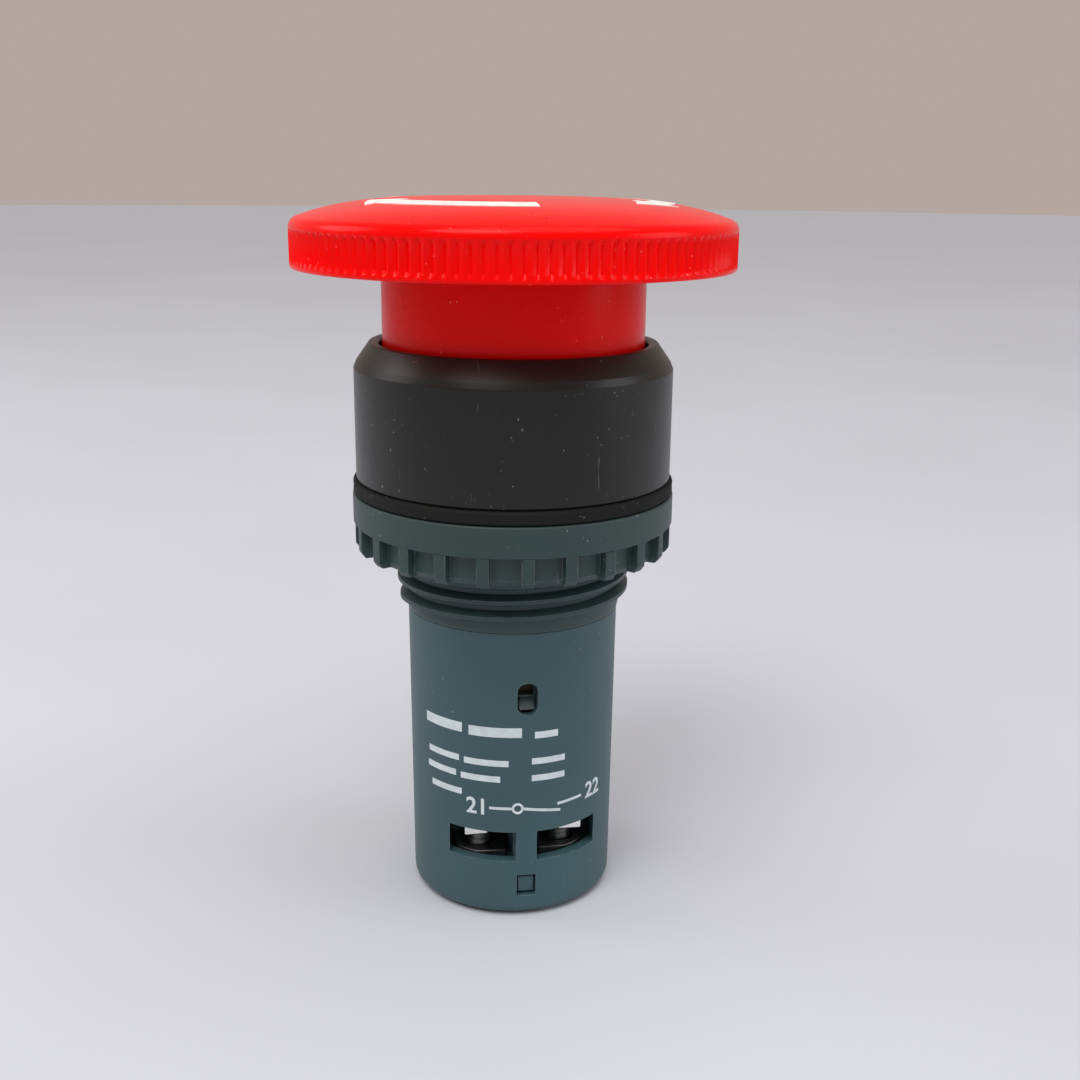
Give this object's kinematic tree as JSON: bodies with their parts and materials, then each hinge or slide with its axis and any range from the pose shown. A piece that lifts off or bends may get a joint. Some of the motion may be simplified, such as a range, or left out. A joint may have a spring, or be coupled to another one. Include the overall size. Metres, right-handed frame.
{
  "type": "emergency stop button",
  "caption": "Panel-mounted emergency stop button: twist-release mushroom head on a sliding neck, round collar, ring nut and threaded neck, and a round contact block with screw terminals.",
  "frame": {"origin": "centre of the flat rear end of the contact block", "axes": "+Z along the button's axis from the rear end to the head; -Y towards the side with the front pair of wire openings; +X to the right seen from that side"},
  "size_m": [0.04, 0.04, 0.0662],
  "materials": {
    "head_red": "glossy moulded red plastic",
    "sleeve_red": "semi-gloss darker red plastic",
    "collar_black": "semi-gloss black with light handling scratches",
    "seal_rubber": "matte black rubber",
    "nut_plastic": "satin dark grey-green moulded plastic",
    "slate_plastic": "satin slate grey moulded plastic",
    "inner_plastic": "natural ivory moulded plastic",
    "spring_steel": "drawn spring wire",
    "screw_steel": "zinc-plated steel",
    "marking_white": "white printed marking",
    "contact_brass": "stamped brass, bright at the edges"
  },
  "bodies": {
    "housing": {"contact_housing": "slate_plastic", "contact_base": "slate_plastic", "threaded_bushing": "slate_plastic", "bezel_collar": "collar_black", "wiper_seal": "seal_rubber", "panel_gasket": "seal_rubber", "latch_ring": "inner_plastic", "latch_spring_left": "spring_steel", "latch_spring_right": "spring_steel", "return_spring": "spring_steel", "carrier_spring": "spring_steel", "twist_spring": "spring_steel", "terminal_21": "contact_brass", "terminal_22": "contact_brass", "terminal_13": "contact_brass", "terminal_14": "contact_brass"},
    "plunger": {"push_rod": "inner_plastic", "bridge_carrier": "inner_plastic", "nc_contact_spring": "spring_steel", "no_contact_spring": "spring_steel"},
    "head": {"mushroom_head": "head_red", "head_sleeve": "sleeve_red", "actuator_spindle": "inner_plastic"},
    "nut": {"ring_nut": "nut_plastic"},
    "pin_left": {"latch_pin_left": "screw_steel"},
    "pin_right": {"latch_pin_right": "screw_steel"},
    "bridge_nc": {"nc_bridge": "contact_brass"},
    "bridge_no": {"no_bridge": "contact_brass"},
    "clamp_21": {"clamp_plate_21": "screw_steel"},
    "screw_21": {"terminal_screw_21": "screw_steel"},
    "clamp_22": {"clamp_plate_22": "screw_steel"},
    "screw_22": {"terminal_screw_22": "screw_steel"},
    "clamp_13": {"clamp_plate_13": "screw_steel"},
    "screw_13": {"terminal_screw_13": "screw_steel"},
    "clamp_14": {"clamp_plate_14": "screw_steel"},
    "screw_14": {"terminal_screw_14": "screw_steel"}
  },
  "joints": [
    {"name": "head_press", "type": "slide", "parent": "housing", "child": "plunger", "axis": [0, 0, -1], "range_m": [0, 0.0055], "stiffness_N_per_m": 800, "springref_m": -0.004, "deforming": ["return_spring", "carrier_spring", "twist_spring"]},
    {"name": "head_twist", "type": "hinge", "parent": "plunger", "child": "head", "pos_m": [0, 0, 0.04], "axis": [0, 0, -1], "range_deg": [0, 45], "stiffness_Nm_per_rad": 0.02, "springref_deg": -11.46},
    {"name": "nut_run", "type": "slide", "parent": "housing", "child": "nut", "axis": [0, 0, -1], "range_m": [0, 0.006]},
    {"name": "pin_left_slide", "type": "slide", "parent": "housing", "child": "pin_left", "axis": [1, 0, 0], "range_m": [0, 0.001]},
    {"name": "pin_right_slide", "type": "slide", "parent": "housing", "child": "pin_right", "axis": [-1, 0, 0], "range_m": [0, 0.001]},
    {"name": "nc_bridge_travel", "type": "slide", "parent": "housing", "child": "bridge_nc", "axis": [0, 0, -1], "range_m": [0, 0.003], "deforming": ["nc_contact_spring"]},
    {"name": "no_bridge_travel", "type": "slide", "parent": "housing", "child": "bridge_no", "axis": [0, 0, -1], "range_m": [0, 0.003], "deforming": ["no_contact_spring"]},
    {"name": "clamp_21_rise", "type": "slide", "parent": "housing", "child": "clamp_21", "axis": [0, 0, 1], "range_m": [0, 0.0026]},
    {"name": "screw_21_turn", "type": "hinge", "parent": "clamp_21", "child": "screw_21", "pos_m": [-0.0039, -0.00475, 0.004], "axis": [0, 0, 1], "range_deg": [0, 2080]},
    {"name": "clamp_22_rise", "type": "slide", "parent": "housing", "child": "clamp_22", "axis": [0, 0, 1], "range_m": [0, 0.0026]},
    {"name": "screw_22_turn", "type": "hinge", "parent": "clamp_22", "child": "screw_22", "pos_m": [0.0039, -0.00475, 0.004], "axis": [0, 0, 1], "range_deg": [0, 2080]},
    {"name": "clamp_13_rise", "type": "slide", "parent": "housing", "child": "clamp_13", "axis": [0, 0, 1], "range_m": [0, 0.0026]},
    {"name": "screw_13_turn", "type": "hinge", "parent": "clamp_13", "child": "screw_13", "pos_m": [0.0039, 0.00475, 0.004], "axis": [0, 0, 1], "range_deg": [0, 2080]},
    {"name": "clamp_14_rise", "type": "slide", "parent": "housing", "child": "clamp_14", "axis": [0, 0, 1], "range_m": [0, 0.0026]},
    {"name": "screw_14_turn", "type": "hinge", "parent": "clamp_14", "child": "screw_14", "pos_m": [-0.0039, 0.00475, 0.004], "axis": [0, 0, 1], "range_deg": [0, 2080]}
  ],
  "couplings": [
    {"joint": "pin_left_slide", "follows": "head_press", "ratio": 0.1818},
    {"joint": "pin_right_slide", "follows": "head_press", "ratio": 0.1818},
    {"joint": "nc_bridge_travel", "follows": "head_press", "ratio": 0.5454},
    {"joint": "no_bridge_travel", "follows": "head_press", "ratio": 0.5454},
    {"joint": "clamp_21_rise", "follows": "screw_21_turn", "m_per_rad": 0.000071613},
    {"joint": "clamp_22_rise", "follows": "screw_22_turn", "m_per_rad": 0.000071613},
    {"joint": "clamp_13_rise", "follows": "screw_13_turn", "m_per_rad": 0.000071613},
    {"joint": "clamp_14_rise", "follows": "screw_14_turn", "m_per_rad": 0.000071613}
  ]
}
